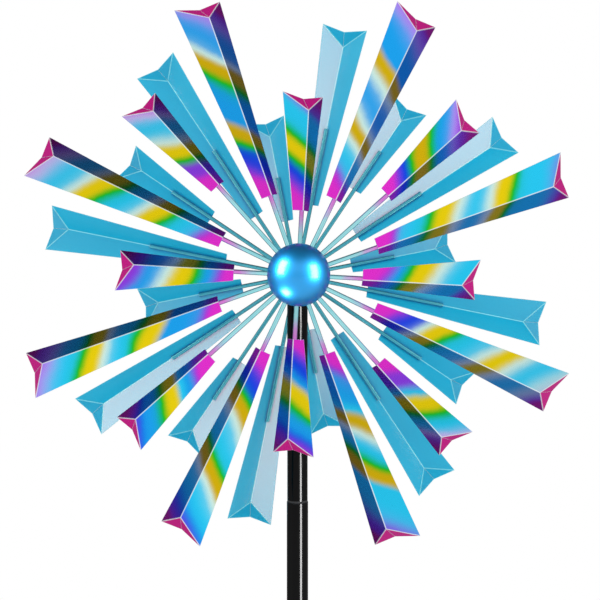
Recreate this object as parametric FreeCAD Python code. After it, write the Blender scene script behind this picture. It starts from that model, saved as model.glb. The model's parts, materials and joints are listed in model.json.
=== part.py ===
"""Garden wind spinner: two wheels of folded blades on one axle, at the top of a swivelling pole.

Millimetres, +Z up. The origin is where the pole's axis meets the ground. The axle lies along Y
and the front wheel is on the -Y side. Angles round a wheel run counter-clockwise as seen from the
front, from +X. Each separate piece is written to its own STEP file in parts/.
"""
import FreeCAD, Part
import math
import os

# Overall sizes
axle_height = 1405.0        # axle above the ground
wheel_offset = 80.0         # from the pole's axis to the plane of a wheel's rods
seam_below_axle = 255.0     # top of the fixed pole, below the axle

# Blades: three sizes of one folded sheet, as radii from the axle
blade_steps = 16            # blades round a wheel
blade_sheet = 0.8
blade_half_fold = 57.3      # degrees from the fold's middle plane to each face
blade_fold_radius = 1.2     # outside of the bend
blade_inner_width = 11.3    # face width at the square inner end
flap_slit = 0.2             # gap between a blade's two end flaps
cut_margin = 1.0            # how far cutting shapes stand clear of the sheet
long_blade = {"inner": 87.0, "fold_end": 280.2, "notch": 294.7, "corner": 300.0,
              "width": 31.8, "notch_depth": 15.4, "rod_end": 180.0}
outer_blade = {"inner": 124.2, "fold_end": 225.4, "notch": 238.1, "corner": 243.8,
               "width": 28.2, "notch_depth": 13.9, "rod_end": 180.0}
inner_blade = {"inner": 66.9, "fold_end": 170.3, "notch": 184.1, "corner": 189.2,
               "width": 28.2, "notch_depth": 13.9, "rod_end": 120.0}
blade_order = (inner_blade, long_blade, outer_blade, long_blade)
front_pitch = 26.4          # degrees that a front blade is turned about its rod
rear_pitch = 9.9
front_phase = -3.1          # degrees from +X to the first blade
rear_phase = 11.1

# Rods and hubs
rod_diameter = 4.8
weld_gap = 0.05             # between welded faces, so that they touch without sharing space
rod_gap = 0.6               # least gap between neighbouring rods at the hub
hub_wall = 3.0              # least wall round a bearing
hub_shoulder = 2.0          # height of the step that a bearing rests on
hub_length = 22.0

# Ball bearings, 8 x 22 x 7
bearing_diameter = 22.0
bearing_width = 7.0
bearing_pitch = 15.0        # diameter of the circle through the balls' centres
bearing_ball = 3.97
bearing_balls = 7
outer_ring_bore = 17.6
inner_ring_diameter = 12.2
shield_thickness = 0.4
shield_gap = 0.3
groove_clearance = 0.065    # between a ball and its groove, on the radius
slip_fit = 0.02             # radial clearance of pieces that are pushed together

# Axle and what it carries
axle_diameter = 8.0
axle_in_ball = 9.5          # length of axle that screws into an end ball
boss_diameter = 24.0
boss_length = 40.0
spacer_diameter = 12.0
washer_diameter = 12.0
washer_thickness = 1.0
nut_across_flats = 13.0
nut_height = 8.0
thread_clearance = 0.05
ball_diameter = 63.0
ball_wall = 1.2
ball_gap = 1.2              # from the hub's face to the ball
insert_length = 20.0
insert_wall = 1.65          # round the recess for the nut
nut_corner_gap = 0.8
nut_end_gap = 0.5

# Swivel head and spindle
head_tube_diameter = 23.0
head_tube_wall = 1.5
swivel_gap = 0.3            # from the flange of the lower bush to the pole
bush_flange = 2.0
bush_length = 30.0
spindle_diameter = 12.0
spindle_base_length = 60.0
running_clearance = 0.05
thrust_ball_diameter = 8.0
dimple_depth = 2.0
thrust_pad_thickness = 10.0
thrust_pad_drop = 29.0      # from the boss to the pad under it
upper_bush_drop = 10.0      # from the spindle's top to the upper bush

# Pole, screws and ground stake
pole_diameter = 24.0
pole_wall = 1.5
lower_pole_top = 610.0
spigot_length = 70.0
screw_diameter = 5.0
screw_head_diameter = 9.5
screw_head_height = 3.0
screw_length = 8.0
screw_clearance = 0.1
spindle_screw_drop = 30.0
stake_post_wall = 2.5
stake_post_length = 170.0
stake_screw_rise = 60.0
prong_count = 4
prong_diameter = 8.0
prong_circle = 120.0
prong_bend = 12.0
prong_arm_height = 15.0
prong_depth = 200.0
prong_tip = 18.0
prong_tip_radius = 0.8
pole_foot_gap = 0.3

V = FreeCAD.Vector
X_AXIS = V(1, 0, 0)
Y_AXIS = V(0, 1, 0)
Z_AXIS = V(0, 0, 1)
FRONT = -1
REAR = 1

seam_height = axle_height - seam_below_axle
hub_inner_face = wheel_offset - hub_length / 2
hub_outer_face = wheel_offset + hub_length / 2
hub_diameter = max(bearing_diameter + 2 * hub_wall,
                   (rod_diameter + rod_gap) / math.sin(math.pi / blade_steps))
nut_end = hub_outer_face + washer_thickness + nut_height + nut_end_gap
axle_half_length = nut_end + axle_in_ball
nut_across_corners = nut_across_flats / math.cos(math.pi / 6)
insert_recess = nut_across_corners + 2 * nut_corner_gap
ball_opening = insert_recess + 2 * insert_wall + 2 * weld_gap
pole_bore = pole_diameter - 2 * pole_wall
head_bore = head_tube_diameter - 2 * head_tube_wall
sin_fold = math.sin(math.radians(blade_half_fold))
cos_fold = math.cos(math.radians(blade_half_fold))
# A rod lies in the valley of its blades, so the sharp fold stands this far from its axis.
fold_height = (blade_sheet + rod_diameter / 2 + weld_gap) / sin_fold


def polygon(points):
    """Flat face through the points."""
    return Part.Face(Part.makePolygon(list(points) + [points[0]]))


def rod_along_y(diameter, near, far, side):
    """Round bar on the axle's line, from near to far from the pole's axis, on one side of it."""
    return Part.makeCylinder(diameter / 2, far - near, V(0, side * near, axle_height), V(0, side, 0))


def tube_along_y(outer, bore, near, far, side):
    """Tube on the axle's line."""
    return rod_along_y(outer, near, far, side).cut(rod_along_y(bore, near, far, side))


def rod_along_z(diameter, low, high):
    """Round bar on the pole's axis."""
    return Part.makeCylinder(diameter / 2, high - low, V(0, 0, low), Z_AXIS)


def tube_along_z(outer, bore, low, high):
    """Tube on the pole's axis."""
    return rod_along_z(outer, low, high).cut(rod_along_z(bore, low, high))


def write(name, solids):
    """One STEP file per sub-part; a group of like pieces stays a group of separate solids."""
    shape = solids[0] if len(solids) == 1 else Part.makeCompound(solids)
    shape.exportStep("parts/" + name + ".step")


# Blades ---------------------------------------------------------------------------------------

def fold_prism(apex, radius, reach, start, end):
    """Solid under a roof-shaped surface along X: sharp fold at height apex, rounded to radius."""
    tangent = radius / math.tan(math.radians(blade_half_fold))
    left_foot = V(start, -reach * sin_fold, apex - reach * cos_fold)
    right_foot = V(start, reach * sin_fold, apex - reach * cos_fold)
    left_bend = V(start, -tangent * sin_fold, apex - tangent * cos_fold)
    right_bend = V(start, tangent * sin_fold, apex - tangent * cos_fold)
    crown = V(start, 0, apex - radius / sin_fold + radius)
    outline = Part.Wire([Part.makeLine(left_foot, left_bend),
                         Part.Arc(left_bend, crown, right_bend).toShape(),
                         Part.makeLine(right_bend, right_foot),
                         Part.makeLine(right_foot, left_foot)])
    return Part.Face(outline).extrude(V(end - start, 0, 0))


def make_blade(size):
    """Blade along +X with its rod's axis on X and its fold towards +Z, before it is pitched."""
    reach = 1.5 * size["width"]
    shell_length = size["corner"] + blade_sheet
    outside = fold_prism(fold_height, blade_fold_radius, reach, size["inner"], shell_length)
    inside = fold_prism(fold_height - blade_sheet / sin_fold, blade_fold_radius - blade_sheet,
                        reach, size["inner"] - blade_sheet, shell_length + blade_sheet)
    shell = outside.cut(inside)
    fold_start = V(size["inner"], 0, fold_height)
    fold_end = V(size["fold_end"], 0, fold_height)
    notch = V(size["notch"], 0, fold_height - size["notch_depth"])
    outlines = []
    flaps = []
    for way in (1, -1):
        corner = V(size["corner"], way * size["width"] * sin_fold,
                   fold_height - size["width"] * cos_fold)
        inner_corner = V(size["inner"], way * blade_inner_width * sin_fold,
                         fold_height - blade_inner_width * cos_fold)
        outward = V(0, way * cos_fold, sin_fold)
        above = outward * cut_margin
        face = polygon([point + above for point in (fold_start, fold_end, corner, inner_corner)])
        outlines.append(face.extrude(outward * -(2 * cut_margin + 2 * blade_sheet)))

        # A flap lies between the slit and the line of the face's free edge.
        past_corner = corner + (corner - inner_corner)
        past_fold = V(past_corner.x, 0, fold_height)
        between = polygon([point + above for point in
                           (fold_start, past_fold, past_corner, inner_corner)])
        between = between.extrude(outward * -reach)
        beside = Part.makeBox(2 * size["corner"], reach, 2 * reach,
                              V(0, flap_slit / 2 if way > 0 else -flap_slit / 2 - reach, -reach))
        flap_normal = (corner - fold_end).cross(notch - fold_end) * -way
        flap_normal.normalize()
        flap = polygon([fold_end, corner, notch]).extrude(flap_normal * -blade_sheet)
        flaps.append(flap.common(beside).common(outside).common(between))
    faces = shell.common(outlines[0].fuse(outlines[1]))
    return faces.fuse(flaps).removeSplitter().Solids[0]


def wheel_placement(angle, pitch, side):
    """From a piece along +X with its outside towards +Z to its place on the front or rear wheel."""
    turn = FreeCAD.Rotation(V(0, -1, 0), angle)
    face_out = FreeCAD.Rotation(X_AXIS, -90.0 * side)
    tilt = FreeCAD.Rotation(X_AXIS, -pitch * side)
    return FreeCAD.Placement(V(0, side * wheel_offset, axle_height), turn * face_out * tilt)


def make_wheel(side, name, phase, pitch, blades):
    """Blades, rods and hub of one wheel."""
    hub_clear = rod_along_y(hub_diameter + 2 * weld_gap, hub_inner_face, hub_outer_face, side)
    rods = []
    for number in range(blade_steps):
        kind = number % len(blade_order)
        angle = phase + number * 360.0 / blade_steps
        place = wheel_placement(angle, pitch, side).toMatrix()
        write("%s_blade_%02d" % (name, number + 1), [blades[kind].transformed(place, copy=True)])
        bar = Part.makeCylinder(rod_diameter / 2, blade_order[kind]["rod_end"], V(0, 0, 0), X_AXIS)
        rods.append(bar.transformed(place, copy=True).cut(hub_clear).Solids[0])
    write(name + "_rods", rods)

    hub_bore = bearing_diameter - 2 * hub_shoulder
    hub = tube_along_y(hub_diameter, hub_bore, hub_inner_face, hub_outer_face, side)
    seat = bearing_diameter + 2 * slip_fit
    hub = hub.cut(rod_along_y(seat, hub_inner_face, hub_inner_face + bearing_width, side))
    hub = hub.cut(rod_along_y(seat, hub_outer_face - bearing_width, hub_outer_face, side))
    write(name + "_hub", [hub])


# Bearings -------------------------------------------------------------------------------------

def bearing_starts():
    """Distance from the pole's axis to the near face of a hub's two bearings."""
    return (hub_inner_face, hub_outer_face - bearing_width)


def ball_groove(start, side):
    """Ring-shaped path of a bearing's balls, with clearance."""
    centre = V(0, side * (start + bearing_width / 2), axle_height)
    return Part.makeTorus(bearing_pitch / 2, bearing_ball / 2 + groove_clearance, centre, Y_AXIS)


def make_outer_ring(start, side):
    """Outer ring with its two shields."""
    end = start + bearing_width
    ring = tube_along_y(bearing_diameter, outer_ring_bore, start, end, side)
    ring = ring.cut(ball_groove(start, side))
    shield_bore = inner_ring_diameter + 2 * shield_gap
    near = tube_along_y(bearing_diameter, shield_bore, start, start + shield_thickness, side)
    far = tube_along_y(bearing_diameter, shield_bore, end - shield_thickness, end, side)
    return ring.fuse([near, far]).removeSplitter().Solids[0]


def make_inner_ring(start, side):
    """Inner ring, on the axle."""
    bore = axle_diameter + 2 * slip_fit
    ring = tube_along_y(inner_ring_diameter, bore, start, start + bearing_width, side)
    return ring.cut(ball_groove(start, side)).Solids[0]


def make_balls(start, side):
    """The balls of one bearing."""
    y = side * (start + bearing_width / 2)
    balls = []
    for number in range(bearing_balls):
        angle = 2 * math.pi * number / bearing_balls
        centre = V(bearing_pitch / 2 * math.cos(angle), y,
                   axle_height + bearing_pitch / 2 * math.sin(angle))
        balls.append(Part.makeSphere(bearing_ball / 2, centre))
    return balls


def make_bearings():
    """Two bearings in each hub: outer rings and balls turn with the wheel."""
    inner_rings = []
    for side, name in ((FRONT, "front"), (REAR, "rear")):
        write(name + "_bearing_rings", [make_outer_ring(s, side) for s in bearing_starts()])
        write(name + "_bearing_balls", [b for s in bearing_starts() for b in make_balls(s, side)])
        inner_rings += [make_inner_ring(start, side) for start in bearing_starts()]
    write("bearing_inner_rings", inner_rings)


# Axle and what it carries ---------------------------------------------------------------------

def make_nut(side):
    """Hexagon lock nut that holds a wheel's bearings on the axle."""
    start = hub_outer_face + washer_thickness
    corners = []
    for number in range(6):
        angle = math.pi / 3 * number
        corners.append(V(nut_across_corners / 2 * math.cos(angle), side * start,
                         axle_height + nut_across_corners / 2 * math.sin(angle)))
    prism = polygon(corners).extrude(V(0, side * nut_height, 0))
    bore = axle_diameter + 2 * thread_clearance
    return prism.cut(rod_along_y(bore, start, start + nut_height, side))


def make_ball(side):
    """Hollow end ball with a round opening towards the hub."""
    opening_face = hub_outer_face + ball_gap
    to_centre = math.sqrt((ball_diameter / 2) ** 2 - (ball_opening / 2) ** 2)
    centre = V(0, side * (opening_face + to_centre), axle_height)
    shell = Part.makeSphere(ball_diameter / 2, centre)
    shell = shell.cut(Part.makeSphere(ball_diameter / 2 - ball_wall, centre))
    return shell.cut(rod_along_y(ball_opening, hub_inner_face, opening_face + to_centre, side))


def make_insert(side):
    """Threaded boss in a ball's opening; its recess goes over the lock nut."""
    start = hub_outer_face + ball_gap
    end = start + insert_length
    body = rod_along_y(ball_opening - 2 * weld_gap, start, end, side)
    body = body.cut(rod_along_y(insert_recess, start, nut_end, side))
    return body.cut(rod_along_y(axle_diameter + 2 * thread_clearance, nut_end, end, side))


def make_axle_group():
    """Axle, the boss that it passes through, spacers, washers, nuts and end balls."""
    sides = (FRONT, REAR)
    bore = axle_diameter + 2 * slip_fit
    half_boss = boss_length / 2
    inner_bearing_end = hub_inner_face + bearing_width
    outer_bearing_start = hub_outer_face - bearing_width
    washer_end = hub_outer_face + washer_thickness
    axle = Part.makeCylinder(axle_diameter / 2, 2 * axle_half_length,
                             V(0, -axle_half_length, axle_height), Y_AXIS)
    write("axle", [axle])
    boss = Part.makeCylinder(boss_diameter / 2, boss_length, V(0, -half_boss, axle_height), Y_AXIS)
    passage = Part.makeCylinder(bore / 2, boss_length, V(0, -half_boss, axle_height), Y_AXIS)
    write("axle_boss", [boss.cut(passage)])
    write("axle_spacers",
          [tube_along_y(spacer_diameter, bore, half_boss, hub_inner_face, s) for s in sides])
    write("bearing_spacers",
          [tube_along_y(spacer_diameter, bore, inner_bearing_end, outer_bearing_start, s)
           for s in sides])
    write("axle_washers",
          [tube_along_y(washer_diameter, bore, hub_outer_face, washer_end, s) for s in sides])
    write("axle_nuts", [make_nut(s) for s in sides])
    write("front_ball", [make_ball(FRONT)])
    write("rear_ball", [make_ball(REAR)])
    write("ball_inserts", [make_insert(s) for s in sides])


# Swivel head ----------------------------------------------------------------------------------

def make_swivel():
    """Head tube on its bushes, the fixed spindle inside it and the ball that carries the head."""
    head_bottom = seam_height + swivel_gap + bush_flange
    pad_top = axle_height - boss_diameter / 2 - thrust_pad_drop
    pad_bottom = pad_top - thrust_pad_thickness
    spindle_top = pad_bottom - thrust_ball_diameter + 2 * dimple_depth
    ball_centre = V(0, 0, (spindle_top + pad_bottom) / 2)
    dimple = Part.makeSphere(thrust_ball_diameter / 2 + running_clearance, ball_centre)

    tube = tube_along_z(head_tube_diameter, head_bore, head_bottom, axle_height)
    saddle = Part.makeCylinder((boss_diameter + 2 * weld_gap) / 2, 2 * head_tube_diameter,
                               V(0, -head_tube_diameter, axle_height), Y_AXIS)
    write("head_tube", [tube.cut(saddle).Solids[0]])

    bush_bore = spindle_diameter + 2 * running_clearance
    bush_body = head_bore - 2 * slip_fit
    lower = tube_along_z(bush_body, bush_bore, head_bottom, head_bottom + bush_length)
    flange = tube_along_z(head_tube_diameter, bush_bore, head_bottom - bush_flange, head_bottom)
    upper_end = spindle_top - upper_bush_drop
    upper = tube_along_z(bush_body, bush_bore, upper_end - bush_length, upper_end)
    write("swivel_bushes", [lower.fuse(flange).removeSplitter().Solids[0], upper])

    pad = rod_along_z(bush_body, pad_bottom, pad_top).cut(dimple)
    write("thrust_pad", [pad])
    write("thrust_ball", [Part.makeSphere(thrust_ball_diameter / 2, ball_centre)])

    base = rod_along_z(pole_bore - 2 * slip_fit, seam_height - spindle_base_length, seam_height)
    spindle = base.fuse(rod_along_z(spindle_diameter, seam_height, spindle_top)).cut(dimple)
    spindle = spindle.cut(screw_hole(spindle_screw_height))
    write("spindle", [spindle.removeSplitter().Solids[0]])


# Pole and ground stake ------------------------------------------------------------------------

spindle_screw_height = seam_height - spindle_screw_drop
spigot_screw_height = lower_pole_top + spigot_length / 2
pole_foot = prong_arm_height + prong_diameter / 2 + pole_foot_gap
stake_screw_height = pole_foot + stake_screw_rise


def screw_hole(height):
    """Hole for a pole screw, from the back of the pole to the screw's end."""
    start = pole_diameter / 2 - screw_length - screw_clearance
    return Part.makeCylinder(screw_diameter / 2 + screw_clearance, 2 * screw_length,
                             V(0, start, height), Y_AXIS)


def make_screw(height):
    """Round-headed screw through the back of the pole."""
    surface = pole_diameter / 2
    shank = Part.makeCylinder(screw_diameter / 2, screw_length, V(0, surface, height), V(0, -1, 0))
    head = Part.makeCylinder(screw_head_diameter / 2, screw_head_height,
                             V(0, surface, height), Y_AXIS)
    rim = [e for e in head.Edges if e.BoundBox.YMin > surface + screw_head_height / 2
           and len(e.Vertexes) == 1]
    head = head.makeFillet(screw_head_height / 2, rim)
    return head.fuse(shank).removeSplitter().Solids[0]


def make_pole():
    """Two pole tubes; the lower one's top is drawn in to a spigot. Screws lock the joints."""
    upper = tube_along_z(pole_diameter, pole_bore, lower_pole_top, seam_height)
    upper = upper.cut(screw_hole(spindle_screw_height)).cut(screw_hole(spigot_screw_height))
    write("upper_pole", [upper.Solids[0]])

    spigot = pole_bore - 2 * slip_fit
    spigot_bore = spigot - 2 * pole_wall
    lower = rod_along_z(pole_diameter, pole_foot, lower_pole_top)
    lower = lower.fuse(rod_along_z(spigot, lower_pole_top, lower_pole_top + spigot_length))
    lower = lower.cut(rod_along_z(pole_bore, pole_foot, lower_pole_top - pole_diameter / 2))
    lower = lower.cut(rod_along_z(spigot_bore, pole_foot, lower_pole_top + spigot_length))
    lower = lower.cut(screw_hole(spigot_screw_height)).cut(screw_hole(stake_screw_height))
    write("lower_pole", [lower.removeSplitter().Solids[0]])
    write("pole_screws", [make_screw(height) for height in
                          (spindle_screw_height, spigot_screw_height, stake_screw_height)])


def make_prong(angle, post_clear):
    """Bent and pointed rod, from the stake's post out and down into the ground."""
    out = prong_circle / 2
    radius = prong_diameter / 2
    bend_foot = prong_arm_height - prong_bend
    tip_top = prong_tip - prong_depth
    arm = Part.makeCylinder(radius, out - prong_bend, V(0, 0, prong_arm_height), X_AXIS)
    section = Part.Face(Part.Wire(Part.makeCircle(radius, V(out - prong_bend, 0, prong_arm_height),
                                                  X_AXIS)))
    bend = section.revolve(V(out - prong_bend, 0, bend_foot), Y_AXIS, 90)
    leg = Part.makeCylinder(radius, bend_foot - tip_top, V(out, 0, tip_top), Z_AXIS)
    tip = Part.makeCone(prong_tip_radius, radius, prong_tip, V(out, 0, -prong_depth), Z_AXIS)
    prong = arm.fuse([bend, leg, tip]).removeSplitter()
    prong.rotate(V(0, 0, 0), Z_AXIS, angle)
    return prong.cut(post_clear).Solids[0]


def make_stake():
    """Post that goes up inside the pole, with the prongs welded round its foot."""
    post_diameter = pole_bore - 2 * slip_fit
    post_bottom = prong_arm_height - prong_diameter
    post_top = post_bottom + stake_post_length
    post = tube_along_z(post_diameter, post_diameter - 2 * stake_post_wall, post_bottom, post_top)
    write("stake_post", [post.cut(screw_hole(stake_screw_height)).Solids[0]])
    post_clear = rod_along_z(post_diameter + 2 * weld_gap, post_bottom, post_top)
    turn = 360.0 / prong_count
    write("stake_prongs",
          [make_prong(turn * (number + 0.5), post_clear) for number in range(prong_count)])


os.makedirs("parts", exist_ok=True)
blade_shapes = [make_blade(size) for size in blade_order]
make_wheel(FRONT, "front", front_phase, front_pitch, blade_shapes)
make_wheel(REAR, "rear", rear_phase, rear_pitch, blade_shapes)
make_bearings()
make_axle_group()
make_swivel()
make_pole()
make_stake()
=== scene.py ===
"""Garden wind spinner: finishes, welds, screws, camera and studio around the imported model.

Metres, +Z up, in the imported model's frame: the origin is on the pole's axis at the ground line,
and the axle lies along Y with the front wheel on the -Y side.
"""
import json
import math
import random

import bpy
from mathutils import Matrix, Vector


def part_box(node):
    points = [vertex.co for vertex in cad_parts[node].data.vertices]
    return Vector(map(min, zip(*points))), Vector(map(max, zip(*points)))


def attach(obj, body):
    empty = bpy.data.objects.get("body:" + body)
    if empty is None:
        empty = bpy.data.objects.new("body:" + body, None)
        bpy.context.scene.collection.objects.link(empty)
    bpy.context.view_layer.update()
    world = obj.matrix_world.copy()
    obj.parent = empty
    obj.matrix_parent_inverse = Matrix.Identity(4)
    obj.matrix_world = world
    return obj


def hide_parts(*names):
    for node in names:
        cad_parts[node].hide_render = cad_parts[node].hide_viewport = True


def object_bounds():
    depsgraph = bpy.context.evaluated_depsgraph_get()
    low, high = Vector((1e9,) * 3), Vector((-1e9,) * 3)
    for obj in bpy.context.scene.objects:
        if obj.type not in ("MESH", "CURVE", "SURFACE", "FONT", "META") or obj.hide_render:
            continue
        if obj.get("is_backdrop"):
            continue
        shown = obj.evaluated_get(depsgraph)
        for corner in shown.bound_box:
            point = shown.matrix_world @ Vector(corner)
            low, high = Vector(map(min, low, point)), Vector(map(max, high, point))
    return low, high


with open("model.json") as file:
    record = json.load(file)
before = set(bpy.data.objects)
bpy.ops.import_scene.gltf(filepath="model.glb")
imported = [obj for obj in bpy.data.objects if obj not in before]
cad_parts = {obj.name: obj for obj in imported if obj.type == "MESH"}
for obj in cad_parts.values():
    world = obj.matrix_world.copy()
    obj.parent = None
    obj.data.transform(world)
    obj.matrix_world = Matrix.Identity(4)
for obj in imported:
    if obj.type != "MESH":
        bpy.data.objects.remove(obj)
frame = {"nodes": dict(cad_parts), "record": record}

cad_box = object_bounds()
random.seed(41)


# Camera -----------------------------------------------------------------------------------------
# Straight in front of the wheels, a metre from the front blades' folds, a little below the axle
# and just left of it.
CAMERA_LEFT = 0.0111
CAMERA_BELOW = 0.0047
CAMERA_DISTANCE = 1.0
CAMERA_LENS = 57.9          # millimetres, behind a frame 36 mm wide
CAMERA_TILT = math.radians(1.21)
CAMERA_PAN = math.radians(0.74)
joints = {joint["name"]: joint for joint in frame["record"]["behaviour"]["joints"]}
axle_height = joints["front_wheel_spin"]["pos_m"][2]
front_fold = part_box("front_blade_02")[0][1]
camera_data = bpy.data.cameras.new("camera")
camera_data.lens = CAMERA_LENS
camera_data.sensor_width = 36.0
camera_data.clip_end = 40.0
camera = bpy.data.objects.new("camera", camera_data)
camera.location = (-CAMERA_LEFT, front_fold - CAMERA_DISTANCE, axle_height - CAMERA_BELOW)
camera.rotation_euler = (math.pi / 2 - CAMERA_TILT, 0.0, -CAMERA_PAN)
bpy.context.collection.objects.link(camera)
bpy.context.scene.camera = camera


# Blades -----------------------------------------------------------------------------------------
# Thin steel sheet, folded along the middle and at the two end flaps. Metallic teal all over, then
# airbrushed by hand on the outside in soft slanting stripes, under a clear gloss coat.
class Socket:
    """A shader socket that takes part in sums: each operator adds its Math node."""

    def __init__(self, nodes, socket):
        self.nodes = nodes
        self.socket = socket

    def math(self, operation, first, second=0.0):
        return self.nodes.add("ShaderNodeMath", {"operation": operation}, {0: first, 1: second})

    def __add__(self, other):
        return self.math("ADD", self, other)

    def __radd__(self, other):
        return self.math("ADD", other, self)

    def __sub__(self, other):
        return self.math("SUBTRACT", self, other)

    def __rsub__(self, other):
        return self.math("SUBTRACT", other, self)

    def __mul__(self, other):
        return self.math("MULTIPLY", self, other)

    def __rmul__(self, other):
        return self.math("MULTIPLY", other, self)

    def __truediv__(self, other):
        return self.math("DIVIDE", self, other)

    def __gt__(self, other):
        return self.math("GREATER_THAN", self, other)

    def __mod__(self, other):
        return self.math("FLOORED_MODULO", self, other)

    def __abs__(self):
        return self.math("ABSOLUTE", self)

    def __round__(self):
        return self.math("ROUND", self)

    def larger(self, other):
        return self.math("MAXIMUM", self, other)

    def between(self, low, high):
        """0 below low, 1 above high and an even S-curve from one to the other."""
        return self.nodes.add("ShaderNodeMapRange", {"interpolation_type": "SMOOTHSTEP"},
                              {"Value": self, "From Min": low, "From Max": high})


class Nodes:
    """The nodes of one material, or of the room."""

    def __init__(self, owner, output="ShaderNodeOutputMaterial"):
        owner.use_nodes = True
        self.owner = owner
        self.tree = owner.node_tree
        self.tree.nodes.clear()
        self.output = self.tree.nodes.new(output)

    def add(self, kind, settings=None, values=None, out=0):
        """Adds a node: its settings, then what goes into its sockets. Gives the output out."""
        node = self.tree.nodes.new(kind)
        for key, value in (settings or {}).items():
            if key == "stops":
                ramp = node.color_ramp
                while len(ramp.elements) < len(value):
                    ramp.elements.new(1.0)
                for element, (position, colour) in zip(ramp.elements, value):
                    element.position = position
                    element.color = (*colour, 1.0)
            elif key == "ramp":
                node.color_ramp.interpolation = value
            else:
                setattr(node, key, value)
        for key, value in (values or {}).items():
            if isinstance(value, Socket):
                self.tree.links.new(value.socket, node.inputs[key])
            elif isinstance(value, tuple) and node.inputs[key].type == "RGBA":
                node.inputs[key].default_value = (*value, 1.0)
            else:
                node.inputs[key].default_value = value
        if isinstance(out, tuple):
            return [Socket(self, node.outputs[each]) for each in out]
        return Socket(self, node.outputs[out])

    def place(self):
        """Where a point lies on the object."""
        return self.add("ShaderNodeTexCoord", out=3)

    def split(self, vector):
        return self.add("ShaderNodeSeparateXYZ", {}, {0: vector}, out=(0, 1, 2))

    def noise(self, scale, detail=2.0):
        return self.add("ShaderNodeTexNoise", {},
                        {"Vector": self.place(), "Scale": scale, "Detail": detail})

    def mix(self, share, first, second, blend="MIX"):
        """Colour first, going over by share to colour second or to a blend of the two."""
        return self.add("ShaderNodeMix", {"data_type": "RGBA", "blend_type": blend},
                        {0: share, 6: first, 7: second}, out=2)

    def rounded(self, radius):
        """Normal of the surface as if its edges were rounded, and how much of an edge is near."""
        soft = self.add("ShaderNodeBevel", {"samples": 6}, {"Radius": radius})
        flat = self.add("ShaderNodeNewGeometry", out=3)
        agreement = self.add("ShaderNodeVectorMath", {"operation": "DOT_PRODUCT"},
                             {0: soft, 1: flat}, out=1)
        return soft, 1.0 - agreement.between(0.90, 0.995)

    def surface(self, values):
        """Ends the nodes in one shader and gives the finished material."""
        shader = self.add("ShaderNodeBsdfPrincipled", {}, values)
        self.tree.links.new(shader.socket, self.output.inputs["Surface"])
        return self.owner


def dress(names, material):
    """Gives CAD nodes their finish."""
    for name in names:
        slots = frame["nodes"][name].data.materials
        slots.clear()
        slots.append(material)


MAGENTA = (0.80, 0.03, 0.64)
VIOLET = (0.26, 0.05, 0.78)
DEEP_BLUE = (0.006, 0.06, 0.82)
SKY = (0.010, 0.37, 0.88)
CYAN = (0.02, 0.60, 0.92)
GREEN = (0.005, 0.52, 0.01)
GOLD = (0.66, 0.44, 0.002)
YELLOW = (0.84, 0.64, 0.002)
PALE = (0.62, 0.86, 0.80)
LILAC = (0.52, 0.28, 0.92)
ROSE = (0.80, 0.50, 0.90)
CRIMSON = (0.66, 0.008, 0.26)
TEAL = (0.002, 0.47, 0.72)
LIGHT_TEAL = (0.006, 0.54, 0.80)
# Light edge colours. On the blades' folds and cut edges they are painted highlight.
EDGE_WHITE = (0.86, 0.94, 0.96)
HIGHLIGHT_TEAL = (0.32, 0.92, 1.0)
# Painted shade, multiplied over the blades' sides that lean back.
SHADE_BLUE = (0.62, 0.60, 1.0)

BLADE_STEPS = 16
SHEET_EDGE = 0.0006         # rounding of the cut edges and folds
STRIPE_WANDER = 0.028       # how far the stripes' borders wander along a blade
STRIPE_MIST = 0.003         # how far their mist is blown
SHORT_INSIDE = {"inner": 0.0669, "fold_end": 0.1703, "corner": 0.1892, "half_width": 0.0237}
SHORT_OUTSIDE = {"inner": 0.1242, "fold_end": 0.2254, "corner": 0.2438, "half_width": 0.0237}
LONG = {"inner": 0.087, "fold_end": 0.2802, "corner": 0.3, "half_width": 0.0268}
BLADE_KINDS = (SHORT_INSIDE, LONG, SHORT_OUTSIDE, LONG)
WHEELS = {"front": {"side": -1, "phase": math.radians(-3.1), "pitch": math.radians(26.4)},
          "rear": {"side": 1, "phase": math.radians(11.1), "pitch": math.radians(9.9)}}

# How each blade is sprayed: near the hub, between the stripes, the tip, the stripe itself, and
# what lies on each side of each stripe, from the hub out. Long blades have two stripes, short one.
SPRAY = (
    (SKY, CYAN, CYAN, YELLOW, GREEN, PALE),
    (CYAN, CYAN, CYAN, YELLOW, GREEN, PALE, PALE, GREEN),
    (DEEP_BLUE, SKY, LILAC, GOLD, GREEN, GREEN),
    (CYAN, SKY, LILAC, GOLD, PALE, PALE, PALE, SKY),
    (DEEP_BLUE, CYAN, CYAN, YELLOW, GREEN, GREEN),
    (DEEP_BLUE, SKY, LILAC, GOLD, GREEN, SKY, GREEN, PALE),
    (VIOLET, CYAN, ROSE, YELLOW, GREEN, PALE),
    (CYAN, CYAN, ROSE, YELLOW, GREEN, PALE, GREEN, PALE),
    (SKY, SKY, VIOLET, YELLOW, GREEN, PALE),
    (SKY, CYAN, LILAC, YELLOW, SKY, GREEN, PALE, GREEN),
    (SKY, SKY, DEEP_BLUE, YELLOW, CYAN, GREEN),
    (DEEP_BLUE, CYAN, DEEP_BLUE, GOLD, GREEN, PALE, GREEN, PALE),
    (DEEP_BLUE, SKY, DEEP_BLUE, YELLOW, SKY, GREEN),
    (SKY, CYAN, VIOLET, GOLD, CYAN, PALE, GREEN, CYAN),
    (VIOLET, CYAN, ROSE, YELLOW, CYAN, GREEN),
    (DEEP_BLUE, CYAN, PALE, YELLOW, PALE, GREEN, PALE, PALE),
)


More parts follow.
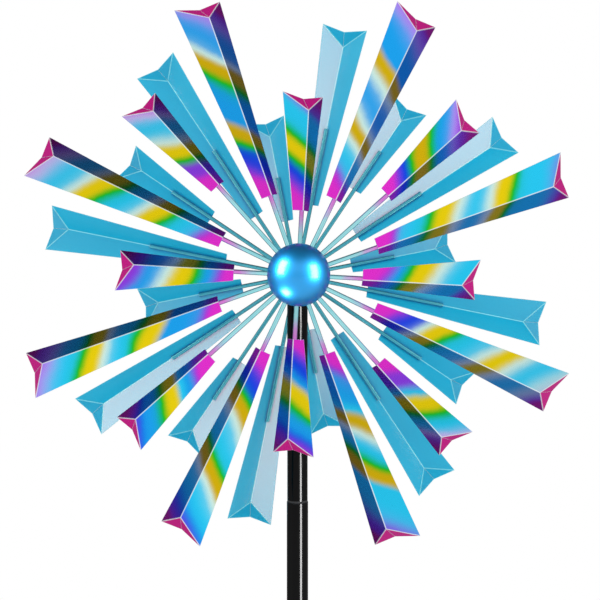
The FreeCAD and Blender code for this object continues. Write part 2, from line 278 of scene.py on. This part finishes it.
def spray_stops(spray, kind):
    """The blade's colours as stops, from 0 at its inner end to 1 at its outer corners."""
    near_hub, between, tip, stripe = spray[:4]
    sides = spray[4:]
    middles = (0.31, 0.62) if kind is LONG else (0.45,)
    half = 0.034 if kind is LONG else 0.058     # of a stripe's width
    stops = [(0.0, MAGENTA), (1.4 * half, MAGENTA), (2.4 * half, VIOLET), (3.6 * half, near_hub)]
    for number, middle in enumerate(middles):
        middle += random.uniform(-0.02, 0.02)
        before = between if number else near_hub
        stops += [(middle - 3.3 * half, before), (middle - 2.2 * half, sides[2 * number]),
                  (middle - 1.7 * half, sides[2 * number]), (middle - 0.9 * half, stripe),
                  (middle, stripe), (middle + 0.9 * half, stripe),
                  (middle + 1.7 * half, sides[2 * number + 1]),
                  (middle + 2.2 * half, sides[2 * number + 1]), (middle + 3.3 * half, between)]
    end = 0.88 if kind is LONG else 0.80
    return stops + [(end - 0.05, between), (end + 0.02, tip), (end + 0.08, VIOLET), (1.0, CRIMSON)]


def blade_paint(name, wheel, number):
    """Paint of one blade, laid out along the blade's own length and across its fold."""
    kind = BLADE_KINDS[number % 4]
    side = wheel["side"]
    angle = wheel["phase"] + number * 2 * math.pi / BLADE_STEPS
    cos_angle, sin_angle = math.cos(angle), math.sin(angle)
    cos_pitch, sin_pitch = math.cos(wheel["pitch"]), math.sin(wheel["pitch"])
    wheel_offset = abs(joints["front_wheel_spin"]["pos_m"][1])
    n = Nodes(bpy.data.materials.new(name))
    x, y, z = n.split(n.place())
    normal_x, normal_y, normal_z = n.split(n.add("ShaderNodeTexCoord", out=1))

    # Along the blade, to its counter-clockwise side, and out of the wheel's plane.
    height = z - axle_height
    radius = x * cos_angle + height * sin_angle
    aside = height * cos_angle - x * sin_angle
    out = y * side - wheel_offset
    from_fold = aside * cos_pitch + out * sin_pitch
    across = abs(from_fold)
    facing = normal_y * (side * cos_pitch) - (normal_z * cos_angle - normal_x * sin_angle) * sin_pitch
    outside = facing > 0.0
    flap_slope = (kind["corner"] - kind["fold_end"]) / kind["half_width"]
    past_fold = radius - across * flap_slope - kind["fold_end"]

    # Stripes, slanted, wavy and misted at their borders.
    slant = random.uniform(0.6, 0.95)
    wave = n.noise(14.0, 1.0)
    mist = n.noise(160.0, 3.0)
    along = radius - aside * slant + (wave - 0.5) * STRIPE_WANDER + (mist - 0.5) * STRIPE_MIST
    share = (along - kind["inner"]) / (kind["corner"] - kind["inner"])
    stripes = n.add("ShaderNodeValToRGB",
                    {"stops": spray_stops(SPRAY[number], kind), "ramp": "B_SPLINE"}, {0: share})
    flap = past_fold.between(-0.0004, 0.0006)
    # Painted shade: the side that leans back, clockwise of the fold, is darkened and turned bluer.
    back_side_shade = 1.0 - from_fold.between(-0.0004, 0.0004)
    stripes = n.mix(back_side_shade, stripes, SHADE_BLUE, "MULTIPLY")
    rainbow = n.mix(flap, stripes, CRIMSON)
    teal = n.mix(n.noise(20.0), TEAL, LIGHT_TEAL)
    colour = n.mix(outside, teal, rainbow)

    # Painted highlight: light lines along the folds and the cut edges, where the paint is also thin.
    soft, near_edge = n.rounded(SHEET_EDGE)
    fold = (1.0 - across.between(0.0003, 0.0009)) * (1.0 - flap)
    end_fold = 1.0 - abs(past_fold).between(0.0003, 0.0011)
    highlight_and_thin_paint = near_edge.larger(fold).larger(end_fold)
    highlight_and_thin_paint = highlight_and_thin_paint * (0.65 + n.noise(90.0) * 0.4)
    colour = n.mix(highlight_and_thin_paint * 0.9, colour, n.mix(outside, HIGHLIGHT_TEAL, EDGE_WHITE))

    flake = n.noise(1400.0)
    bump = n.add("ShaderNodeBump", {}, {"Strength": 0.12, "Distance": 0.00005,
                                        "Height": n.noise(380.0), "Normal": soft})
    return n.surface({"Base Color": colour, "Metallic": outside * (0.97 - flap * 0.65) - highlight_and_thin_paint * 0.3,
                      "Roughness": 0.22 + flake * 0.10, "Normal": bump,
                      "Specular IOR Level": 0.1, "Specular Tint": (0.5, 0.6, 0.8),
                      "Coat Weight": 0.55 - outside * 0.47, "Coat Roughness": 0.32})


for wheel_name, wheel in WHEELS.items():
    for number in range(BLADE_STEPS):
        blade = "%s_blade_%02d" % (wheel_name, number + 1)
        dress([blade], blade_paint(blade + "_paint", wheel, number))


# Rods and hubs ----------------------------------------------------------------------------------
# Sixteen round steel rods are welded to a turned hub, and each carries one blade in its valley.
# They are teal, deeper on the rear wheel as painted shade, and the outer side of each catches
# its blade's spray.
ROD_TEALS = {"front": ((0.20, 0.64, 0.72), (0.46, 0.84, 0.86)),
             "rear": ((0.05, 0.40, 0.48), (0.14, 0.56, 0.64))}
SPRAY_DRIFT = 0.026         # how far overspray drifts in along a rod
SPRAY_ROUND = 0.0006        # how far it reaches round past the rod's middle


def rod_paint(name, wheel, teals):
    """Teal, with a drift of magenta overspray on the rods just inside the blades."""
    n = Nodes(bpy.data.materials.new(name))
    x, y, z = n.split(n.place())
    height = z - axle_height
    turn = n.add("ShaderNodeMath", {"operation": "ARCTAN2"}, {0: height, 1: x})
    number = round((turn - wheel["phase"]) / (2 * math.pi / BLADE_STEPS)) % 4.0
    radius = n.add("ShaderNodeVectorMath", {"operation": "LENGTH"},
                   {0: n.add("ShaderNodeCombineXYZ", {}, {0: x, 1: height})}, out=1)
    even = 1.0 - number % 2.0
    inner = (LONG["inner"] + even * (SHORT_INSIDE["inner"] - LONG["inner"])
             + (number > 1.5) * even * (SHORT_OUTSIDE["inner"] - SHORT_INSIDE["inner"]))
    sprayed_side = (y * wheel["side"] - abs(joints["front_wheel_spin"]["pos_m"][1])) > -SPRAY_ROUND
    before = inner - radius + (n.noise(70.0) - 0.5) * 0.02
    spray = (1.0 - before.between(0.002, SPRAY_DRIFT)) * sprayed_side * 0.75
    teal = n.mix(n.noise(30.0, 3.0), *teals)
    colour = n.mix(spray, teal, MAGENTA)
    soft, near_edge = n.rounded(0.0005)
    colour = n.mix(near_edge * 0.6, colour, EDGE_WHITE)
    bump = n.add("ShaderNodeBump", {}, {"Strength": 0.2, "Distance": 0.00005,
                                        "Height": n.noise(500.0), "Normal": soft})
    return n.surface({"Base Color": colour, "Metallic": 0.95 - near_edge * 0.4,
                      "Roughness": 0.12 + n.noise(300.0) * 0.08, "Normal": bump,
                      "Coat Weight": 0.5, "Coat Roughness": 0.08})


def ring_path(steps, start, end, place):
    """Points of a weld's path: place gives a point for each angle from start to end."""
    return [place(start + (end - start) * step / (steps - 1)) for step in range(steps)]


def add_welds(name, paths, thickness, body, material):
    """Rippled weld beads along the paths, thin at their ends, as one object on a body."""
    corners = []
    faces = []
    around = 10
    for path in paths:
        first = len(corners)
        for step, point in enumerate(path):
            along = (path[min(step + 1, len(path) - 1)] - path[max(step - 1, 0)]).normalized()
            one_way = along.orthogonal().normalized()
            other_way = along.cross(one_way)
            taper = math.sin(math.pi * (0.5 + step) / len(path)) ** 0.3
            ripple = 1.0 + 0.13 * math.sin(step * 2.2) + random.uniform(-0.04, 0.04)
            for corner in range(around):
                angle = 2 * math.pi * corner / around
                reach = thickness * taper * ripple
                around_path = one_way * math.cos(angle) + other_way * math.sin(angle)
                corners.append(point + around_path * reach)
        for step in range(len(path) - 1):
            for corner in range(around):
                here = first + step * around + corner
                beside = first + step * around + (corner + 1) % around
                faces.append((here, beside, beside + around, here + around))
        faces.append([first + corner for corner in reversed(range(around))])
        faces.append([len(corners) - around + corner for corner in range(around)])
    mesh = bpy.data.meshes.new(name)
    mesh.from_pydata(corners, [], faces)
    mesh.shade_smooth()
    mesh.materials.append(material)
    welds = bpy.data.objects.new(name, mesh)
    bpy.context.collection.objects.link(welds)
    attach(welds, body)


ROD_RADIUS = 0.0024
HUB_RADIUS = 0.014
HUB_WELD = 0.0007
HUB_WELD_TURN = 0.75        # how far round the rod a bead goes to each side of its middle
for wheel_name, wheel in WHEELS.items():
    paint = rod_paint(wheel_name + "_rod_paint", wheel, ROD_TEALS[wheel_name])
    dress([wheel_name + "_rods", wheel_name + "_hub"], paint)
    offset = joints[wheel_name + "_wheel_spin"]["pos_m"][1]
    paths = []
    for number in range(BLADE_STEPS):
        angle = wheel["phase"] + number * 2 * math.pi / BLADE_STEPS
        outward = Vector((math.cos(angle), 0.0, math.sin(angle)))
        sideways = Vector((-math.sin(angle), 0.0, math.cos(angle)))
        reach = ROD_RADIUS + HUB_WELD * 0.6

        def seat(turn):
            """Point where the rod's weld sits on the round hub."""
            aside = reach * math.cos(turn)
            return (Vector((0.0, offset + reach * math.sin(turn), axle_height))
                    + sideways * aside + outward * math.sqrt(HUB_RADIUS ** 2 - aside ** 2))

        for middle in (math.pi / 2, -math.pi / 2):
            paths.append(ring_path(11, middle - HUB_WELD_TURN, middle + HUB_WELD_TURN, seat))
    add_welds(wheel_name + "_hub_welds", paths, HUB_WELD, wheel_name + "_wheel", paint)


# End balls --------------------------------------------------------------------------------------
# Hollow pressed steel balls with a threaded insert, screwed onto the ends of the axle. They are
# sprayed candy blue over silver, under a thick gloss coat.
n = Nodes(bpy.data.materials.new("ball_paint"))
candy = n.mix(n.noise(25.0, 3.0), (0.002, 0.27, 0.66), (0.004, 0.33, 0.74))
soft, near_edge = n.rounded(0.0006)
candy = n.mix(near_edge * 0.5, candy, EDGE_WHITE)
bump = n.add("ShaderNodeBump", {}, {"Strength": 0.15, "Distance": 0.00004,
                                    "Height": n.noise(300.0), "Normal": soft})
ball_paint = n.surface({"Base Color": candy, "Metallic": 0.95, "Normal": bump,
                        "Roughness": 0.34 + n.noise(900.0) * 0.06,
                        "Specular Tint": (0.02, 0.12, 0.5), "Coat Weight": 1.0,
                        "Coat Roughness": 0.20})
dress(["front_ball", "rear_ball"], ball_paint)


# Bearings, axle and fasteners -------------------------------------------------------------------
# The ball bearings in the hubs and the thrust ball are ground steel. The axle, spacers, washers,
# nuts, ball inserts, spindle and screws are turned from steel and zinc plated.
def metal_finish(name, dark, light, roughness):
    """Bare or plated metal: cloudy colour, fine turned lines and lighter edges."""
    n = Nodes(bpy.data.materials.new(name))
    cloud = n.noise(60.0, 4.0)
    x, y, z = n.split(n.place())
    height = z - axle_height
    radius = n.add("ShaderNodeVectorMath", {"operation": "LENGTH"},
                   {0: n.add("ShaderNodeCombineXYZ", {}, {0: x, 1: height})}, out=1)
    lines = n.add("ShaderNodeTexNoise", {"noise_dimensions": "1D"}, {"W": radius, "Scale": 5000.0})
    soft, near_edge = n.rounded(0.0004)
    colour = n.mix(near_edge * 0.5, n.mix(cloud, dark, light), (0.85, 0.85, 0.85))
    bump = n.add("ShaderNodeBump", {}, {"Strength": 0.2, "Distance": 0.00003,
                                        "Height": lines + cloud, "Normal": soft})
    return n.surface({"Base Color": colour, "Metallic": 1.0, "Normal": bump,
                      "Roughness": roughness + cloud * 0.12})


bearing_steel = metal_finish("bearing_steel", (0.50, 0.50, 0.52), (0.64, 0.64, 0.66), 0.14)
zinc_plate = metal_finish("zinc_plate", (0.48, 0.49, 0.48), (0.66, 0.67, 0.64), 0.24)
dress(["front_bearing_rings", "rear_bearing_rings", "front_bearing_balls", "rear_bearing_balls",
       "bearing_inner_rings", "thrust_ball"], bearing_steel)
dress(["axle", "axle_spacers", "bearing_spacers", "axle_washers", "axle_nuts", "ball_inserts",
       "spindle", "pole_screws"], zinc_plate)


# Bushes -----------------------------------------------------------------------------------------
# Turned black nylon: two bushes in the head tube, which turn round the spindle, and the pad by
# which the head rests on the thrust ball.
n = Nodes(bpy.data.materials.new("bush_nylon"))
soft, near_edge = n.rounded(0.0005)
nylon_colour = n.mix(n.noise(80.0, 4.0), (0.010, 0.010, 0.011), (0.030, 0.030, 0.032))
nylon_colour = n.mix(near_edge * 0.5, nylon_colour, (0.10, 0.10, 0.10))
bump = n.add("ShaderNodeBump", {}, {"Strength": 0.3, "Distance": 0.00005,
                                    "Height": n.noise(700.0), "Normal": soft})
dress(["swivel_bushes", "thrust_pad"],
      n.surface({"Base Color": nylon_colour, "Normal": bump,
                 "Roughness": 0.42 + n.noise(200.0) * 0.15}))


# Pole -------------------------------------------------------------------------------------------
# Black powder-coated steel tube in two lengths, with the head tube that turns on top of it. The
# coat is glossy, with a faint orange peel, and lighter and rougher at the rims.
n = Nodes(bpy.data.materials.new("pole_paint"))
soft, near_edge = n.rounded(0.0006)
black = n.mix(n.noise(18.0, 4.0), (0.0006, 0.0006, 0.0007), (0.002, 0.002, 0.0022))
black = n.mix(near_edge * 0.5, black, (0.12, 0.12, 0.13))
dust = n.noise(45.0, 6.0).between(0.55, 0.80)
bump = n.add("ShaderNodeBump", {}, {"Strength": 0.12, "Distance": 0.00006,
                                    "Height": n.noise(420.0, 1.0), "Normal": soft})
pole_paint = n.surface({"Base Color": black, "Roughness": 0.16 + dust * 0.10 + near_edge * 0.15,
                        "Normal": bump, "Specular IOR Level": 0.04, "Coat Weight": 0.12,
                        "Coat Roughness": 0.08})
dress(["axle_boss", "head_tube", "upper_pole", "lower_pole", "stake_post", "stake_prongs"],
      pole_paint)

# The head tube is welded to the boss with one bead in front and one behind.
TUBE_RADIUS = 0.0115
BOSS_RADIUS = 0.012
BOSS_WELD = 0.0011
BOSS_WELD_GAP = 0.35        # how far round from the tube's sides the beads end


def saddle(turn):
    """Point where the head tube's weld sits under the round boss."""
    reach = TUBE_RADIUS + BOSS_WELD * 0.4
    x = reach * math.cos(turn)
    drop = math.sqrt(max(BOSS_RADIUS ** 2 - x ** 2, 0.0)) + BOSS_WELD * 0.4
    return Vector((x, reach * math.sin(turn), axle_height - drop))


paths = [ring_path(40, half + BOSS_WELD_GAP, half + math.pi - BOSS_WELD_GAP, saddle)
         for half in (0.0, math.pi)]
add_welds("head_weld", paths, BOSS_WELD, "head", pole_paint)


# Pole screws ------------------------------------------------------------------------------------
# Three zinc-plated button-head screws with a hexagon socket, in the back of the pole. They lock
# the spindle and the stake post into the pole, and its two lengths together.
SCREW_RADIUS = 0.0025
SCREW_LENGTH = 0.008
HEAD_RADIUS = 0.00475
HEAD_HEIGHT = 0.003
SOCKET_RADIUS = 0.0017
SOCKET_DEPTH = 0.0016
THREAD_PITCH = 0.0008
SCREW_TIP = 0.0006          # tapered part before the thread
PLAIN_SHANK = 0.002         # part of the length that carries no thread
HEAD_BEVEL = 0.0003         # under the head's rim
HEAD_RIM = 0.0009           # where the rim ends and the dome begins


def screw_rings():
    """Outline of a screw from its tip to the bottom of its socket: out, radius, hexagonal or not."""
    rings = [(-SCREW_LENGTH, SCREW_RADIUS * 0.75, False),
             (-SCREW_LENGTH + SCREW_TIP, SCREW_RADIUS, False)]
    turns = int((SCREW_LENGTH - PLAIN_SHANK) / THREAD_PITCH)
    for turn in range(turns):
        start = -SCREW_LENGTH + (turn + 1) * THREAD_PITCH
        rings += [(start + THREAD_PITCH * 0.45, SCREW_RADIUS * 0.84, False),
                  (start + THREAD_PITCH * 0.95, SCREW_RADIUS, False)]
    rings += [(0.0, SCREW_RADIUS, False), (0.0, HEAD_RADIUS - 0.0002, False),
              (HEAD_BEVEL, HEAD_RADIUS, False), (HEAD_RIM, HEAD_RADIUS, False)]
    for step in range(1, 9):
        turn = math.pi / 2 * step / 10
        rings.append((HEAD_RIM + (HEAD_HEIGHT - HEAD_RIM) * math.sin(turn),
                      HEAD_RADIUS * math.cos(turn) + SOCKET_RADIUS * 0.35 * math.sin(turn), False))
    top = HEAD_HEIGHT - 0.0001
    return rings + [(top, SOCKET_RADIUS * 1.18, False), (top - 0.0002, SOCKET_RADIUS, True),
                    (HEAD_HEIGHT - SOCKET_DEPTH, SOCKET_RADIUS * 0.97, True),
                    (HEAD_HEIGHT - SOCKET_DEPTH - 0.0004, SOCKET_RADIUS * 0.1, True)]


def add_screws(name, centres):
    """The screws as one object; each stands on its seat and points along +Y."""
    around = 36
    corners = []
    faces = []
    rings = screw_rings()
    for centre in centres:
        first = len(corners)
        for out, radius, hexagonal in rings:
            for corner in range(around):
                angle = 2 * math.pi * corner / around
                reach = radius
                if hexagonal:
                    within = (angle % (math.pi / 3)) - math.pi / 6
                    reach = radius * math.cos(math.pi / 6) / math.cos(within)
                corners.append((centre[0] + reach * math.cos(angle), centre[1] + out,
                                centre[2] + reach * math.sin(angle)))
        for ring in range(len(rings) - 1):
            for corner in range(around):
                here = first + ring * around + corner
                beside = first + ring * around + (corner + 1) % around
                faces.append((here, here + around, beside + around, beside))
        faces.append([first + corner for corner in range(around)])
        faces.append([len(corners) - around + corner for corner in reversed(range(around))])
    mesh = bpy.data.meshes.new(name)
    mesh.from_pydata(corners, [], faces)
    mesh.shade_smooth()
    mesh.materials.append(zinc_plate)
    screws = bpy.data.objects.new(name, mesh)
    bpy.context.collection.objects.link(screws)
    screws.modifiers.new("sharp edges", "EDGE_SPLIT").split_angle = math.radians(40)
    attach(screws, "pole")
    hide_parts("pole_screws")


# The CAD screws stand in a column, and each one's height is the middle of its own points.
pole_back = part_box("upper_pole")[1][1]
columns = []
for height in sorted(vertex.co.z for vertex in frame["nodes"]["pole_screws"].data.vertices):
    if not columns or height - columns[-1][-1] > HEAD_RADIUS:
        columns.append([])
    columns[-1].append(height)
add_screws("pole_screws_socket_head",
           [(0.0, pole_back, (column[0] + column[-1]) / 2) for column in columns])


# Stake ------------------------------------------------------------------------------------------
# Four bent prongs of round steel bar, pushed into the ground. Each is welded to the foot of the
# post, just under the pole's rim, and painted black like the pole.
PRONG_RADIUS = 0.004
PRONG_HEIGHT = 0.015
POST_RADIUS = 0.0105
PRONG_WELD = 0.0011
PRONG_WELD_RISE = 0.3       # how far round the weld climbs above the arm's middle
paths = []
for number in range(4):
    angle = math.pi / 4 + number * math.pi / 2
    outward = Vector((math.cos(angle), math.sin(angle), 0.0))
    sideways = Vector((-math.sin(angle), math.cos(angle), 0.0))
    reach = PRONG_RADIUS + PRONG_WELD * 0.5

    def arm_seat(turn):
        """Point of the weld round an arm, on the round post."""
        aside = reach * math.cos(turn)
        return (Vector((0.0, 0.0, PRONG_HEIGHT + reach * math.sin(turn))) + sideways * aside
                + outward * math.sqrt(POST_RADIUS ** 2 - aside ** 2))

    paths.append(ring_path(30, -math.pi - PRONG_WELD_RISE, PRONG_WELD_RISE, arm_seat))
add_welds("prong_welds", paths, PRONG_WELD, "pole", pole_paint)


# Studio -----------------------------------------------------------------------------------------
# Pale floor under the prongs' tips, left out of reflections, in a white room. Large soft lights
# add gloss to chosen pieces only, and cast no shadows.
FLOOR_REACH = 3.5
floor_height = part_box("stake_prongs")[0][2]
floor_mesh = bpy.data.meshes.new("floor")
floor_mesh.from_pydata([(FLOOR_REACH * right, FLOOR_REACH * back, floor_height)
                        for right, back in ((-1, -1), (1, -1), (1, 1), (-1, 1))],
                       [], [(0, 1, 2, 3)])
floor = bpy.data.objects.new("floor", floor_mesh)
bpy.context.collection.objects.link(floor)
floor.visible_glossy = False
n = Nodes(bpy.data.materials.new("floor_paint"))
pale = n.mix(n.noise(3.0, 5.0), (0.86, 0.86, 0.86), (0.90, 0.90, 0.90))
floor_mesh.materials.append(n.surface({"Base Color": pale, "Roughness": 0.8}))
floor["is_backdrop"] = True

# Gloss sees a darker room than the eye does: bright in front, dim above, dark behind.
room = bpy.data.worlds.new("room")
n = Nodes(room, "ShaderNodeOutputWorld")
x, y, z = n.split(n.add("ShaderNodeTexCoord"))
ahead = 1.0 - y.between(-0.35, 0.40)
above = z.between(0.55, 1.0)
off_level = abs(z).between(0.05, 0.32)
sideways = abs(x).between(0.4, 0.9)
under = (x * 0.4 - z).between(0.2, 1.0)
behind = 0.12 + sideways * 0.2 + under * 0.28
in_front = (0.76 + off_level * 0.24) * (1.0 - above * 0.85)
seen_by_gloss = behind + ahead * (in_front - behind)
gloss_ray = n.add("ShaderNodeLightPath", out=3)
strength = gloss_ray * seen_by_gloss + (1.0 - gloss_ray)
shader = n.add("ShaderNodeBackground", {}, {"Color": (1.0, 1.0, 1.0), "Strength": strength})
n.tree.links.new(shader.socket, n.output.inputs["Surface"])
room.cycles.sampling_method = "NONE"
bpy.context.scene.world = room


def soft_light(name, toward, distance, width, height, radiance, lit, colour=(1.0, 1.0, 1.0)):
    """Soft light that adds gloss to the nodes lit. Toward says how far right, up and in front."""
    right, up, ahead = toward
    away = Vector((right, -ahead, up)).normalized()
    data = bpy.data.lights.new(name, "AREA")
    data.shape = "RECTANGLE"
    data.size = width
    data.size_y = height
    data.energy = radiance * math.pi * width * height
    data.color = colour
    light = bpy.data.objects.new(name, data)
    light.location = Vector((0.0, 0.0, axle_height)) + away * distance
    light.rotation_euler = away.to_track_quat("Z", "Y").to_euler()
    bpy.context.collection.objects.link(light)
    lit_nodes = bpy.data.collections.new(name + "_on")
    for node in lit:
        lit_nodes.objects.link(frame["nodes"][node])
    light.light_linking.receiver_collection = lit_nodes
    light.visible_diffuse = False
    data.use_shadow = False


balls = ("front_ball", "rear_ball")
rear_blades = [name for name in frame["nodes"] if name.startswith("rear_blade_")]
poles = ("head_tube", "upper_pole", "lower_pole")
WARM = (1.0, 0.58, 0.34)
soft_light("ball_left", (-0.84, 0.38, 0.38), 2.0, 1.00, 1.50, 20.0, balls)
soft_light("ball_right", (0.82, 0.18, 0.54), 2.0, 0.95, 1.50, 17.0, balls)
soft_light("ball_low", (-0.58, -0.80, 0.15), 1.8, 0.80, 0.60, 19.0, balls)
soft_light("glare_low_right", (0.69, -0.18, 0.70), 2.2, 1.40, 2.30, 21.0, rear_blades, WARM)
soft_light("glare_high_left", (-0.69, 0.18, 0.70), 2.2, 1.40, 2.30, 21.0, rear_blades, WARM)
soft_light("pole_strip", (0.56, -0.50, 0.70), 1.4, 0.40, 2.40, 80.0, poles)
bpy.context.scene.view_settings.view_transform = "Standard"


({"cad": [list(corner) for corner in cad_box],
           "visual": [list(corner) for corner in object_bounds()]})
